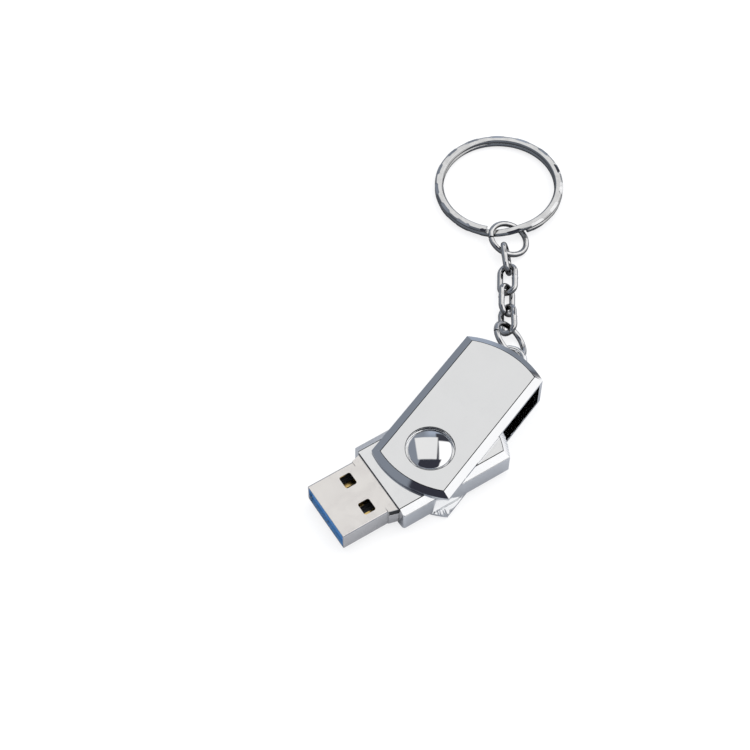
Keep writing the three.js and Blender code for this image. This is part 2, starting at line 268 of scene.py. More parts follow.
def surface(name, look, metallic):
    # one recipe for metal and plastic: colour, worn edges, smudged roughness and a fine bump
    material, tree, shader, place = newMaterial(name)
    marks = useGroup(tree, handlingMarks, place, Smudge_Scale=look["smudge"],
                     Scratch_Scale=look["scratch"], Grain_Scale=look["grain"])
    worn = useGroup(tree, edgeWear, place, Radius=look["edgeRadius"] * mm)["Mask"]
    tone = mixColour(tree, marks["Smudge"], (*look["colour"], 1), (*look["shade"], 1))
    if "paintedSideShade" in look:
        # painted shade: the sides of the wire take a dark colour that stands in for dark reflections, fading out
        # on faces turned up or down
        normal = addNode(tree, "ShaderNodeTexCoord").outputs["Normal"]
        height = addNode(tree, "ShaderNodeSeparateXYZ", {0: normal}).outputs["Z"]
        sideShadeFade = remap(tree, math2(tree, "ABSOLUTE", height), *look["sideShadeFade"], smooth=True)
        tone = mixColour(tree, sideShadeFade, (*look["paintedSideShade"], 1), tone)
    wornTone = mixColour(tree, math2(tree, "MULTIPLY", worn, look["wear"]), tone, (*look["bare"], 1))
    tree.links.new(wornTone, shader.inputs["Base Color"])
    rough = remap(tree, marks["Smudge"], 0.0, 1.0, *look["rough"])
    scored = math2(tree, "MULTIPLY_ADD", marks["Scratch"], look["scratchDepth"])
    tree.links.new(rough, scored.node.inputs[2])
    tree.links.new(scored, shader.inputs["Roughness"])
    bump = addNode(tree, "ShaderNodeBump",
                   {"Strength": look["bump"], "Distance": 0.02 * mm, "Height": marks["Grain"]})
    tree.links.new(bump.outputs[0], shader.inputs["Normal"])
    shader.inputs["Metallic"].default_value = metallic
    if "coat" in look:
        shader.inputs["Coat Weight"].default_value = look["coat"]
        shader.inputs["Coat Roughness"].default_value = 0.06
    return material


metalLooks = {
    "coverMetal": dict(colour=(0.90, 0.905, 0.91), shade=(0.885, 0.89, 0.896), bare=(0.96, 0.96, 0.96),
                       rough=(0.045, 0.07), smudge=140, scratch=420, grain=5200,
                       scratchDepth=0.03, bump=0.05, edgeRadius=0.12, wear=0.5),
    "driveMetal": dict(colour=(0.935, 0.94, 0.945), shade=(0.895, 0.90, 0.91), bare=(0.98, 0.98, 0.98),
                       rough=(0.09, 0.15), smudge=170, scratch=520, grain=6400,
                       scratchDepth=0.04, bump=0.08, edgeRadius=0.12, wear=0.5),
    # painted shade: this dark metal stands in for the shadow inside the fine line, and also lands on the flared
    # lip of the cover's round hole
    "paintedScoreShade": dict(colour=(0.10, 0.10, 0.11), shade=(0.08, 0.08, 0.09), bare=(0.2, 0.2, 0.2),
                       rough=(0.3, 0.4), smudge=300, scratch=900, grain=9000,
                       scratchDepth=0.03, bump=0.1, edgeRadius=0.02, wear=0.2),
    "domeChrome": dict(colour=(0.975, 0.975, 0.975), shade=(0.955, 0.957, 0.96), bare=(0.98, 0.98, 0.98),
                       rough=(0.02, 0.05), smudge=260, scratch=700, grain=6000,
                       scratchDepth=0.03, bump=0.03, edgeRadius=0.06, wear=0.3),
    "plugSteel": dict(colour=(0.925, 0.895, 0.865), shade=(0.885, 0.85, 0.825), bare=(0.95, 0.94, 0.93),
                      rough=(0.16, 0.24), smudge=210, scratch=800, grain=9000,
                      scratchDepth=0.06, bump=0.14, edgeRadius=0.08, wear=0.6),
    # chainSteel and ringSteel paint shade on the sides of the wire: a dark colour standing in for dark reflections
    "chainSteel": dict(colour=(0.84, 0.835, 0.83), shade=(0.70, 0.695, 0.69), bare=(0.9, 0.9, 0.9),
                       paintedSideShade=(0.14, 0.135, 0.13), sideShadeFade=(0.3, 0.93),
                       rough=(0.04, 0.11), smudge=700, scratch=900, grain=9000,
                       scratchDepth=0.08, bump=0.16, edgeRadius=0.12, wear=0.5),
    "ringSteel": dict(colour=(0.88, 0.88, 0.88), shade=(0.76, 0.76, 0.76), bare=(0.93, 0.93, 0.93),
                      paintedSideShade=(0.10, 0.097, 0.093), sideShadeFade=(0.5, 0.97),
                      rough=(0.05, 0.12), smudge=500, scratch=900, grain=9000,
                      scratchDepth=0.08, bump=0.14, edgeRadius=0.08, wear=0.6),
    "contactGold": dict(colour=(0.86, 0.64, 0.27), shade=(0.72, 0.50, 0.19), bare=(0.95, 0.80, 0.48),
                        rough=(0.14, 0.26), smudge=500, scratch=1200, grain=9000,
                        scratchDepth=0.1, bump=0.1, edgeRadius=0.04, wear=0.4),
    "canSteel": dict(colour=(0.70, 0.71, 0.72), shade=(0.58, 0.59, 0.60), bare=(0.85, 0.85, 0.85),
                     rough=(0.24, 0.34), smudge=500, scratch=900, grain=9000,
                     scratchDepth=0.05, bump=0.2, edgeRadius=0.06, wear=0.4),
}
plasticLooks = {
    # black plastic for the collar and board carrier; on the back of the tongue it is painted shade
    "blackPlastic": dict(colour=(0.012, 0.012, 0.013), shade=(0.020, 0.020, 0.022), bare=(0.06, 0.06, 0.06),
                         rough=(0.42, 0.56), smudge=400, scratch=900, grain=9000,
                         scratchDepth=0.05, bump=0.5, edgeRadius=0.08, wear=0.5),
    "bluePlastic": dict(colour=(0.06, 0.38, 0.92), shade=(0.05, 0.33, 0.84), bare=(0.14, 0.46, 0.95),
                        rough=(0.30, 0.42), smudge=420, scratch=900, grain=8000,
                        scratchDepth=0.05, bump=0.4, edgeRadius=0.08, wear=0.4),
    "chipBlack": dict(colour=(0.020, 0.020, 0.023), shade=(0.030, 0.030, 0.032), bare=(0.08, 0.08, 0.08),
                      rough=(0.50, 0.66), smudge=600, scratch=1200, grain=9000,
                      scratchDepth=0.04, bump=0.7, edgeRadius=0.06, wear=0.4),
    "ceramic": dict(colour=(0.46, 0.33, 0.20), shade=(0.38, 0.26, 0.15), bare=(0.6, 0.5, 0.4),
                    rough=(0.40, 0.52), smudge=900, scratch=1500, grain=9000,
                    scratchDepth=0.04, bump=0.5, edgeRadius=0.04, wear=0.4),
}
looks = {name: surface(name, look, 1.0) for name, look in metalLooks.items()}
looks.update({name: surface(name, look, 0.0) for name, look in plasticLooks.items()})


def boardMaterial():
    # green solder mask over copper tracks
    material, tree, shader, place = newMaterial("board")
    marks = useGroup(tree, handlingMarks, place, Smudge_Scale=300.0, Scratch_Scale=900.0, Grain_Scale=9000.0)
    turned = addNode(tree, "ShaderNodeMapping",
                     {"Vector": place, "Rotation": (0, 0, -math.radians(drive["swing"]))})
    tracks = addNode(tree, "ShaderNodeTexBrick",
                     {"Vector": turned.outputs[0], "Scale": 1.0, "Mortar Size": 0.00009,
                      "Brick Width": 0.0031, "Row Height": 0.00062, "Color1": (0, 0, 0, 1),
                      "Color2": (0.3, 0.3, 0.3, 1), "Mortar": (1, 1, 1, 1)})
    onTrack = tracks.outputs["Fac"]
    mask = mixColour(tree, marks["Smudge"], (0.012, 0.10, 0.040, 1), (0.009, 0.075, 0.032, 1))
    tree.links.new(mixColour(tree, onTrack, mask, (0.03, 0.20, 0.075, 1)), shader.inputs["Base Color"])
    tree.links.new(remap(tree, marks["Smudge"], 0, 1, 0.32, 0.46), shader.inputs["Roughness"])
    bump = addNode(tree, "ShaderNodeBump", {"Strength": 0.5, "Distance": 0.03 * mm, "Height": onTrack})
    tree.links.new(bump.outputs[0], shader.inputs["Normal"])
    shader.inputs["Coat Weight"].default_value = 0.3
    return material


# Outlines that the cover and the drive body share.
def bowedLoop(bm, sides, inset, z, steps=30):
    # a closed outline with straight sides and bowed ends; an inset one keeps the bow of its ends
    half = sides["half"] - inset
    shift = inset * sides["cornerShift"]

    def end(corner, bulge, outwards, start):
        bow = bulge * (half / sides["half"]) ** 2
        radius = (half * half + bow * bow) / (2 * bow)
        centre = corner + outwards * (bow - radius)
        first = bm.verts.new((corner, start, z))
        made = bmesh.ops.spin(bm, geom=[first], cent=(centre, 0, z), axis=up, steps=steps,
                              angle=2 * math.asin(half / radius))
        last = next(v for v in made["geom_last"] if isinstance(v, bmesh.types.BMVert))
        return first, last

    before = set(bm.edges)
    if sides["rightBulge"]:
        rightFirst, rightLast = end(sides["right"] - shift, sides["rightBulge"], 1, -half)
    else:
        rightFirst = bm.verts.new((sides["right"], -half, z))
        rightLast = bm.verts.new((sides["right"], half, z))
        bm.edges.new((rightFirst, rightLast))
    leftFirst, leftLast = end(sides["left"] + shift, sides["leftBulge"], -1, half)
    bm.edges.new((rightLast, leftFirst))
    bm.edges.new((leftLast, rightFirst))
    return [e for e in bm.edges if e not in before]


score = {"half": 0.075, "deep": 0.16}  # the fine line between a face and its bevel, in millimetres


def bevelledPlate(sides, z0, z1, width, height, lowHeight):
    bm = bmesh.new()
    half, deep = score["half"], score["deep"]
    levels = ((width, z0), (0, z0 + lowHeight), (0, z1 - height),
              (width - half, z1 - half * height / width), (width, z1 - deep), (width + half, z1))
    loops = [bowedLoop(bm, sides, inset, z) for inset, z in levels]
    for low, high in zip(loops, loops[1:]):
        bmesh.ops.bridge_loops(bm, edges=low + high)
    for cap in (loops[0], loops[-1]):
        bmesh.ops.edgeloop_fill(bm, edges=cap)
    bmesh.ops.recalc_face_normals(bm, faces=bm.faces)
    return bm


def onScore(z1, clear):
    # picks the edges of the fine line on a face at height z1, and leaves those near the pivot alone
    def picked(edge):
        centre = (edge.verts[0].co + edge.verts[1].co) / 2
        return centre.z > z1 - score["deep"] - 0.02 and centre.xy.length > clear

    return picked


def paintShadeInScore(obj, z1):
    # the walls of the fine line, and on the cover the flared lip of the round hole too, take the second material:
    # dark metal painted as the shade inside the line
    for face in obj.data.polygons:
        low = min(obj.data.vertices[i].co.z for i in face.vertices)
        steep = 0.1 < face.normal.z < 0.8
        if steep and low > z1 - score["deep"] - 0.01:
            face.material_index = 1


def cylinder(name, radius, z0, z1, sides=96):
    return newObject(name, spinProfile([(0, z0), (radius, z0), (radius, z1), (0, z1)], sides))


# Swivel cover.
cover = {
    "thickness": 8.0, "halfWidth": 8.35, "plate": 1.1,
    "pivotCorner": -6.2, "eyeletCorner": 24.0, "endBulge": 2.25, "cornerShift": 0.37,
    "bevelWidth": 1.5, "bevelHeight": 0.55, "wallStart": 23.0, "wall": 0.8,
    "domeHole": 4.4, "lip": 0.12, "studRecess": 2.6, "softEdge": 0.11,
}
eyelet = {"centre": 26.2, "radius": 2.65, "wire": 1.1, "height": 4.0, "from": 25.5}
middle = cover["thickness"] / 2


def eyeletLoop():
    wire = eyelet["wire"] / 2
    ring = arcPoints((eyelet["radius"], eyelet["height"]), wire, 0, 360, 24)
    loop = newObject("loop", spinProfile(ring, 96))
    loop.data.transform(Matrix.Translation((eyelet["centre"], 0, 0)))
    outside = newObject("outside", boxMesh((eyelet["from"], -5, 2), (31, 5, 6)))
    return combine(loop, [outside], "INTERSECT")


def buildCover():
    sides = {"left": cover["pivotCorner"], "right": cover["eyeletCorner"], "half": cover["halfWidth"],
             "leftBulge": cover["endBulge"], "rightBulge": cover["endBulge"],
             "cornerShift": cover["cornerShift"]}
    top, plate = cover["thickness"], cover["plate"]
    high = cover["bevelHeight"]
    block = newObject("block", bevelledPlate(sides, 0, top, cover["bevelWidth"], high, high))
    hole, lip = cover["domeHole"], cover["lip"]
    flared = spinProfile([(0, middle), (hole, middle), (hole, top - lip), (hole + lip, top),
                          (hole + lip, top + 1), (0, top + 1)])
    half, bow = cover["halfWidth"], cover["endBulge"]
    endRadius = (half * half + bow * bow) / (2 * bow)
    pocket = cylinder("pocket", endRadius - cover["wall"], plate, top - plate, 180)
    pocket.data.transform(Matrix.Translation((cover["eyeletCorner"] + bow - endRadius, 0, 0)))
    combine(block, [
        cylinder("slot", cover["wallStart"], plate, top - plate, 180),
        pocket,
        newObject("domeHole", flared),
        cylinder("studRecess", cover["studRecess"], plate / 2, middle),
    ])
    combine(block, [eyeletLoop()], "UNION")
    paintShadeInScore(block, top)
    finishPiece("coverShell", block, [looks["coverMetal"], looks["paintedScoreShade"]], "cover",
                ["swivel_cover"], edge=cover["softEdge"], crisp=onScore(top, 5.5))


buildCover()
print("cover done")


# Drive body: tray and lid.
drive = {
    "swing": 158.27, "clearance": 0.1, "halfWidth": 8.22, "mouth": 10.8, "farCorner": -11.75,
    "farBulge": 2.3, "cornerShift": 0.37, "bevelWidth": 1.4, "bevelHeight": 0.9, "lowBevel": 0.35,
    "wall": 1.0, "floor": 0.8, "ribs": 9, "ribPitch": 1.75, "ribRadius": 0.78, "ribReach": 0.42,
    "mouthHalf": 6.75, "mouthHigh": 2.55, "mouthRadius": 0.45, "softEdge": 0.1,
    "stemHole": 2.05, "studHole": 1.35,
}
driveTurn = Matrix.Rotation(math.radians(drive["swing"]), 4, "Z")
bodyLow = cover["plate"] + drive["clearance"]
bodyHigh = cover["thickness"] - bodyLow
lidLow = bodyHigh - drive["bevelHeight"]
touch = 0.05
plug = {
    "width": 12.0, "height": 4.5, "sheet": 0.32, "tip": 21.86, "neckEnd": 12.7, "neckWidth": 10.9,
    "back": 4.0, "bend": 0.42, "neckBend": 0.75,
    "flareFrom": 12.62, "flareTo": 10.6, "flareHalf": 6.55, "flareBend": 0.22,
    "notch": (4.7, 6.0), "notchDeep": 0.5, "crease": 0.12,
    "hole": (2.3, 2.6), "holeAt": 15.27, "holeSide": 3.1, "holeRadius": 0.4,
    "seam": 0.09, "softEdge": 0.05,
}


def bodyBlock():
    sides = {"left": drive["farCorner"], "right": drive["mouth"], "half": drive["halfWidth"],
             "leftBulge": drive["farBulge"], "rightBulge": 0, "cornerShift": drive["cornerShift"]}
    bm = bevelledPlate(sides, bodyLow, bodyHigh, drive["bevelWidth"], drive["bevelHeight"],
                       drive["lowBevel"])
    upright = [e for e in edgesAlong(bm, 2)
               if all(abs(v.co.x - drive["mouth"]) < 1e-3 for v in e.verts)
               and abs(e.verts[0].co.y) > drive["halfWidth"] - 0.1]
    roundEdges(bm, upright, drive["mouthRadius"], 5)
    return newObject("bodyBlock", bm)


def innerRoom(z0, z1):
    sides = {"left": drive["farCorner"] + drive["wall"] + 0.2, "right": drive["mouth"] - drive["wall"],
             "half": drive["halfWidth"] - drive["wall"] - 0.3, "leftBulge": drive["farBulge"] - 0.6,
             "rightBulge": 0, "cornerShift": 0}
    bm = bmesh.new()
    low, high = bowedLoop(bm, sides, 0, z0), bowedLoop(bm, sides, 0, z1)
    bmesh.ops.bridge_loops(bm, edges=low + high)
    for cap in (low, high):
        bmesh.ops.edgeloop_fill(bm, edges=cap)
    bmesh.ops.recalc_face_normals(bm, faces=bm.faces)
    return newObject("innerRoom", bm)


def plugOpening():
    half, high = drive["mouthHalf"], drive["mouthHigh"]
    return newObject("plugOpening", roundedBox((plug["back"] - 0.4, -half, middle - high),
                                               (drive["mouth"] + 3, half, middle + high), 0.3))


def ribFlutes():
    half, bow = drive["halfWidth"], drive["farBulge"]
    radius = (half * half + bow * bow) / (2 * bow)
    centre = drive["farCorner"] - bow + radius
    for i in range(drive["ribs"]):
        angle = (i - (drive["ribs"] - 1) / 2) * drive["ribPitch"] / radius
        reach = radius + drive["ribReach"]
        flute = cylinder("flute", drive["ribRadius"], bodyLow + drive["lowBevel"], lidLow + 0.2, 40)
        flute.data.transform(Matrix.Translation((centre - reach * math.cos(angle),
                                                 reach * math.sin(angle), 0)))
        yield flute


def crispLid(edge):
    # the fine line round the face, and the thin lip over the plug
    atMouth = all(abs(v.co.x - drive["mouth"]) < 1e-3 for v in edge.verts)
    return onScore(bodyHigh, 3.0)(edge) or (atMouth and abs(edge.verts[0].co.y) < drive["mouthHalf"])


def buildBody():
    below = newObject("below", boxMesh((-30, -20, 0), (30, 20, lidLow)))
    tray = combine(bodyBlock(), [below], "INTERSECT")
    combine(tray, [innerRoom(bodyLow + drive["floor"], 20), plugOpening(),
                   cylinder("studHole", drive["studHole"], 0, 3), *ribFlutes()])
    finishPiece("bodyTray", tray, looks["driveMetal"], "drive", ["body_lower_shell"],
                turn=driveTurn, edge=drive["softEdge"])
    above = newObject("above", boxMesh((-30, -20, lidLow + touch), (30, 20, 20)))
    lid = combine(bodyBlock(), [above], "INTERSECT")
    combine(lid, [innerRoom(lidLow - 1, lidLow + 0.25), plugOpening(),
                  cylinder("stemHole", drive["stemHole"], 0, 20)])
    paintShadeInScore(lid, bodyHigh)
    finishPiece("bodyLid", lid, [looks["driveMetal"], looks["paintedScoreShade"]], "drive",
                ["body_upper_shell"], turn=driveTurn, edge=drive["softEdge"],
                crisp=crispLid)


buildBody()
print("drive body done")


# Pivot: dome above, stud below.
dome = {"radius": 4.0, "sphere": 12.9, "high": 8.215, "shoulder": 0.22, "stem": 2.0}
stud = {"head": 2.3, "stem": 1.3}


def buildPivot():
    seat = bodyHigh + touch
    sphere, shoulder = dome["sphere"], dome["shoulder"]
    inner = dome["radius"] - shoulder
    crown = math.degrees(math.asin(inner / (sphere - shoulder)))
    centre = dome["high"] - sphere
    turned = centre + (sphere - shoulder) * math.cos(math.radians(crown))
    rim = arcPoints((inner, turned), shoulder, 0, 90 - crown, 8)
    cap = arcPoints((0, centre), sphere, 90 - crown, 90, 24)
    profile = [(0, lidLow + 0.3), (dome["stem"], lidLow + 0.3), (dome["stem"], seat),
               (dome["radius"], seat), *rim[:-1], *cap[:-1], (0, cap[-1][1])]
    finishPiece("pivotDome", spinProfile(profile, 128), looks["domeChrome"], "drive", ["pivot_dome"],
                turn=driveTurn)
    low, high = cover["plate"] / 2 + touch, bodyLow - touch
    profile = [(0, low), (stud["head"] - 0.2, low), (stud["head"], low + 0.12), (stud["head"], high),
               (stud["stem"], high), (stud["stem"], bodyLow + drive["floor"] + 0.4),
               (stud["stem"] - 0.1, bodyLow + drive["floor"] + 0.5), (0, bodyLow + drive["floor"] + 0.5)]
    finishPiece("pivotStud", spinProfile(profile, 96), looks["domeChrome"], "drive", ["pivot_stud"],
                turn=driveTurn)


buildPivot()
print("pivot done")


# Plug.
def plugBox(x0, x1, width, height, radius):
    return newObject("plugBox", roundedBox((x0, -width / 2, middle - height / 2),
                                           (x1, width / 2, middle + height / 2), radius))


def flareHalfAt(x):
    along = (x - plug["flareTo"]) / (plug["flareFrom"] - plug["flareTo"])
    return plug["flareHalf"] + along * (plug["width"] / 2 - plug["flareHalf"])


def buildFlare():
    # the plug's root widens into the mouth of the body
    high = plug["height"] / 2
    bm = boxMesh((plug["flareTo"], -1, middle - high), (plug["flareFrom"], 1, middle + high))
    for vert in bm.verts:
        vert.co.y *= flareHalfAt(vert.co.x)
    roundEdges(bm, edgesAlong(bm, 0), plug["flareBend"], 3)
    return newObject("flare", bm)


def notchBar(start, end, deep, grow):
    # bars along both sides of the root, as wide as its notch
    low, high = plug["notch"]
    bars = []
    for side in (-1, 1):
        bm = boxMesh((start, -1, low - grow), (end, 0, high + grow))
        for vert in bm.verts:
            inner = vert.co.y < -0.5
            edge = flareHalfAt(vert.co.x)
            vert.co.y = side * (edge - deep if inner else edge + (1 if grow else -0.06))
        bmesh.ops.recalc_face_normals(bm, faces=bm.faces)
        bars.append(newObject("notchBar", bm))
    return bars


def buildPlugShell():
    sheet = plug["sheet"]
    shell = plugBox(plug["neckEnd"], plug["tip"], plug["width"], plug["height"], plug["bend"])
    neck = plugBox(plug["back"], plug["neckEnd"] + 0.1, plug["neckWidth"], plug["height"], plug["neckBend"])
    flare = combine(buildFlare(), notchBar(plug["flareTo"] - 1, plug["flareFrom"] - 0.15,
                                           plug["notchDeep"], 0.03))
    combine(shell, [neck, flare], "UNION")
    along, across = plug["hole"]
    holes = []
    for y in (-plug["holeSide"], plug["holeSide"]):
        holes.append(newObject("latchHole", roundedBox(
            (plug["holeAt"] - along / 2, y - across / 2, 0),
            (plug["holeAt"] + along / 2, y + across / 2, 10), plug["holeRadius"], axis=2)))
    seam = newObject("seam", boxMesh((plug["back"] - 1, -plug["seam"] / 2, 0),
                                     (plug["tip"] + 1, plug["seam"] / 2, middle)))
    bore = plugBox(plug["back"] - 1, plug["tip"] + 1, plug["neckWidth"] - 2 * sheet,
                   plug["height"] - 2 * sheet, 0.35)
    room = plugBox(plug["neckEnd"] + sheet, plug["tip"] + 1, plug["width"] - 2 * sheet,
                   plug["height"] - 2 * sheet, 0.15)
    combine(shell, [bore, room, seam, *holes])
    finishPiece("plugShell", shell, looks["plugSteel"], "drive", ["usb_shell"],
                turn=driveTurn, edge=plug["softEdge"])


def buildCollar():
    half, high = drive["mouthHalf"] - touch, drive["mouthHigh"] - touch
    front = plug["flareTo"] - touch
    collar = newObject("collar", roundedBox((front - 0.7, -half, middle - high),
                                            (front, half, middle + high), 0.3))
    inner = plugBox(0, 30, plug["neckWidth"] + 2 * touch, plug["height"] + 2 * touch, plug["neckBend"])
    combine(collar, [inner])
    combine(collar, notchBar(front - 0.1, plug["flareFrom"] - 0.2, plug["notchDeep"] - 0.08, 0), "UNION")
    finishPiece("plugCollar", collar, looks["blackPlastic"], "drive", ["plug_collar"],
                turn=driveTurn, edge=0.06)


tongue = {
    "low": middle - plug["height"] / 2 + plug["sheet"] + touch, "high": middle - 0.1,
    "half": plug["neckWidth"] / 2 - plug["sheet"] - touch, "back": plug["back"] + 1,
    "front": plug["tip"] - 0.5, "wide": plug["width"] / 2 - plug["sheet"] - touch,
    "wideFrom": plug["neckEnd"] + plug["sheet"] + 0.1, "blueFrom": plug["tip"] - 2.4,
    "slotDepth": 0.25, "softEdge": 0.12,
}
contact = {"from": plug["tip"] - 9.2, "to": plug["tip"] - 1.6, "half": 0.5, "thick": 0.12,
           "rows": (-3.5, -1.0, 1.0, 3.5)}
spring = {"from": plug["tip"] - 13.2, "to": plug["tip"] - 9.9, "half": 0.35, "rise": 0.4,
          "sheet": 0.1, "pitch": 2.0, "count": 5}


def buildTongue():
    bar = newObject("tongue", boxMesh((tongue["back"], -tongue["half"], tongue["low"]),
                                      (tongue["front"], tongue["half"], tongue["high"])))
    nose = newObject("nose", boxMesh((tongue["wideFrom"], -tongue["wide"], tongue["low"]),
                                     (tongue["front"], tongue["wide"], tongue["high"])))
    combine(bar, [nose], "UNION")
    slots = [newObject("slot", boxMesh((contact["from"] - 1, y - 0.14, tongue["high"] - tongue["slotDepth"]),
                                       (contact["to"] + 0.6, y + 0.14, tongue["high"] + 1)))
             for y in (-4.45, -2.25, 0.0, 2.25, 4.45)]
    combine(bar, slots)
    bm = bmesh.new()
    bm.from_mesh(bar.data)
    bmesh.ops.bisect_plane(bm, geom=bm.verts[:] + bm.edges[:] + bm.faces[:],
                           plane_co=(tongue["blueFrom"], 0, 0), plane_no=(1, 0, 0))
    # painted shade: behind blueFrom the tongue takes the black material, standing in for the shade inside the
    # shell; ahead of it the tongue stays blue
    for face in bm.faces:
        face.material_index = int(face.calc_center_median().x < tongue["blueFrom"])
    bm.to_mesh(bar.data)
    bm.free()
    finishPiece("plugTongue", bar, [looks["bluePlastic"], looks["blackPlastic"]], "drive",
                ["usb_insulator"], turn=driveTurn, edge=tongue["softEdge"])


def bentStrip(points, half, thickness):
    # a strip across Y that follows points in X and Z
    bm = bmesh.new()
    (x, z), rest = points[0], points[1:]
    edge = bm.edges.new((bm.verts.new((x, -half, z)), bm.verts.new((x, half, z))))
    for a, b in zip(points, rest):
        made = bmesh.ops.extrude_edge_only(bm, edges=[edge])["geom"]
        moved = [v for v in made if isinstance(v, bmesh.types.BMVert)]
        edge = next(e for e in made if isinstance(e, bmesh.types.BMEdge)
                    and all(v in moved for v in e.verts))
        bmesh.ops.translate(bm, vec=(b[0] - a[0], 0, b[1] - a[1]), verts=moved)
    bmesh.ops.recalc_face_normals(bm, faces=bm.faces)
    bmesh.ops.solidify(bm, geom=bm.faces[:], thickness=thickness)
    return bm


def buildContacts():
    low = tongue["high"] + 0.02
    for i, y in enumerate(contact["rows"]):
        bm = boxMesh((contact["from"], y - contact["half"], low),
                     (contact["to"], y + contact["half"], low + contact["thick"]))
        corners = [e for e in edgesAlong(bm, 2)]
        roundEdges(bm, corners, 0.3, 5)
        finishPiece(f"contactStrip{i + 1}", bm, looks["contactGold"], "drive", [f"contact_{i + 1}"],
                    turn=driveTurn, edge=0.03)
    for i in range(spring["count"]):
        y = (i - (spring["count"] - 1) / 2) * spring["pitch"]
        steps = 16
        points = [(spring["from"] + (spring["to"] - spring["from"]) * k / steps,
                   low + 0.05 + (spring["rise"] - 0.05) * math.sin(math.pi * k / steps) ** 2)
                  for k in range(steps + 1)]
        bm = bentStrip(points, spring["half"], spring["sheet"] / 2)
        bmesh.ops.translate(bm, vec=(0, y, 0), verts=bm.verts)
        finishPiece(f"fastContact{i + 1}", bm, looks["contactGold"], "drive", [f"fast_contact_{i + 1}"],
                    turn=driveTurn, edge=0.02)


buildPlugShell()
buildCollar()
buildTongue()
buildContacts()
print("plug done")


# Electronics inside the body.
boardTop = middle - 0.4 + touch


def addBoxes(bm, boxes, material=0):
    for low, high in boxes:
        part = boxMesh(low, high)
        mesh = bpy.data.meshes.new("part")
        part.to_mesh(mesh)
        part.free()
        count = len(bm.faces)
        bm.from_mesh(mesh)
        bm.faces.ensure_lookup_table()
        for face in bm.faces[count:]:
            face.material_index = material
        bpy.data.meshes.remove(mesh)


chips = {
    "memory": dict(node="memory_chip", x=(-9.4, -1.8), y=(-5.6, 5.6), high=1.0, leads=14, reach=0.8),
    "controller": dict(node="controller_chip", x=(-0.9, 3.3), y=(-4.4, 0.4), high=0.8, leads=8, reach=0.5),
}


def buildChip(name, chip):
    (x0, x1), (y0, y1), reach = chip["x"], chip["y"], chip["reach"]
    bm = boxMesh((x0, y0 + reach, boardTop + 0.15), (x1, y1 - reach, boardTop + chip["high"]))
    roundEdges(bm, [e for e in edgesAlong(bm, 0) + edgesAlong(bm, 1)
                    if min(v.co.z for v in e.verts) > boardTop + 0.5], 0.12, 2)
    pitch = (x1 - x0) / chip["leads"]
    leads = []
    for i in range(chip["leads"]):
        x = x0 + (i + 0.5) * pitch
        for inner, outer, sign in ((y0 + reach, y0, -1), (y1 - reach, y1, 1)):
            step = (inner + outer) / 2
            leads.append(((x - pitch / 5, min(inner, step), boardTop + 0.35),
                          (x + pitch / 5, max(inner, step), boardTop + 0.47)))
            leads.append(((x - pitch / 5, min(step, outer), boardTop),
                          (x + pitch / 5, max(step, outer), boardTop + 0.12)))
            leads.append(((x - pitch / 5, step - 0.06, boardTop + 0.1),
                          (x + pitch / 5, step + 0.06, boardTop + 0.37)))
    addBoxes(bm, leads, 1)
    piece = finishPiece(name, bm, [looks["chipBlack"], looks["canSteel"]], "drive", [chip["node"]],
                        turn=driveTurn)
    return piece


def buildElectronics():
    buildChip("memoryChip", chips["memory"])
    buildChip("controllerChip", chips["controller"])
    can = roundedBox((-0.6, 1.8, boardTop), (2.4, 3.4, boardTop + 0.7), 0.7, axis=2, segments=8)
    finishPiece("crystalCan", can, looks["canSteel"], "drive", ["crystal"],
                turn=driveTurn, edge=0.12)
    for i in range(4):
        x = -0.7 + i * 1.15
        bm = boxMesh((x + 0.02, 4.6, boardTop + 0.02), (x + 0.58, 5.2, boardTop + 0.48))
        addBoxes(bm, [((x, 4.4, boardTop), (x + 0.6, 4.62, boardTop + 0.5)),
                      ((x, 5.18, boardTop), (x + 0.6, 5.4, boardTop + 0.5))], 1)
        finishPiece(f"capacitorChip{i + 1}", bm, [looks["ceramic"], looks["canSteel"]], "drive",
                    [f"capacitor_{i + 1}"], turn=driveTurn, edge=0.04)
    for node, look in (("circuit_board", boardMaterial()), ("board_carrier", looks["blackPlastic"])):
        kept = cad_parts[node]
        kept.data.materials.clear()
        kept.data.materials.append(look)


buildElectronics()
print("electronics done")


# Rings and chain.
jumpRing = {"radius": 3.7, "wire": 1.1, "gap": 3.0, "gapAt": 100.0}
link = {"length": 7.4, "width": 4.2, "wire": 1.15, "weld": 1.1, "weldHalf": 0.35}
chainPlaces = {
    "lower_jump_ring": dict(at=(30.41, 2.69, 3.23), heading=32.7, roll=42.8, pitch=-16.1),
    "chain_link_1": dict(at=(34.61, 5.97, 2.16), heading=35.5, roll=-42.1, pitch=-6),
    "chain_link_2": dict(at=(38.57, 8.75, 1.8), heading=33, roll=45, pitch=0),
    "chain_link_3": dict(at=(42.67, 11.31, 1.8), heading=33, roll=-25, pitch=0),
    "chain_link_4": dict(at=(46.54, 14.14, 2.03), heading=39.8, roll=72.2, pitch=0),
    "upper_jump_ring": dict(at=(50.98, 16.56, 1.73), heading=35.8, roll=17.7, pitch=-0.6),
    "split_ring": dict(at=(60.97, 25.52, 0.69), heading=-138.8, roll=1.25, pitch=2.38),
}


def laidOut(name):
    # heading turns the piece about Z, pitch raises its far end, and roll raises its left side
    place = chainPlaces[name]
    turns = (("Z", place["heading"]), ("Y", -place["pitch"]), ("X", place["roll"]))
    matrix = Matrix.Translation(place["at"])
    for axis, angle in turns:
        matrix = matrix @ Matrix.Rotation(math.radians(angle), 4, axis)
    return matrix


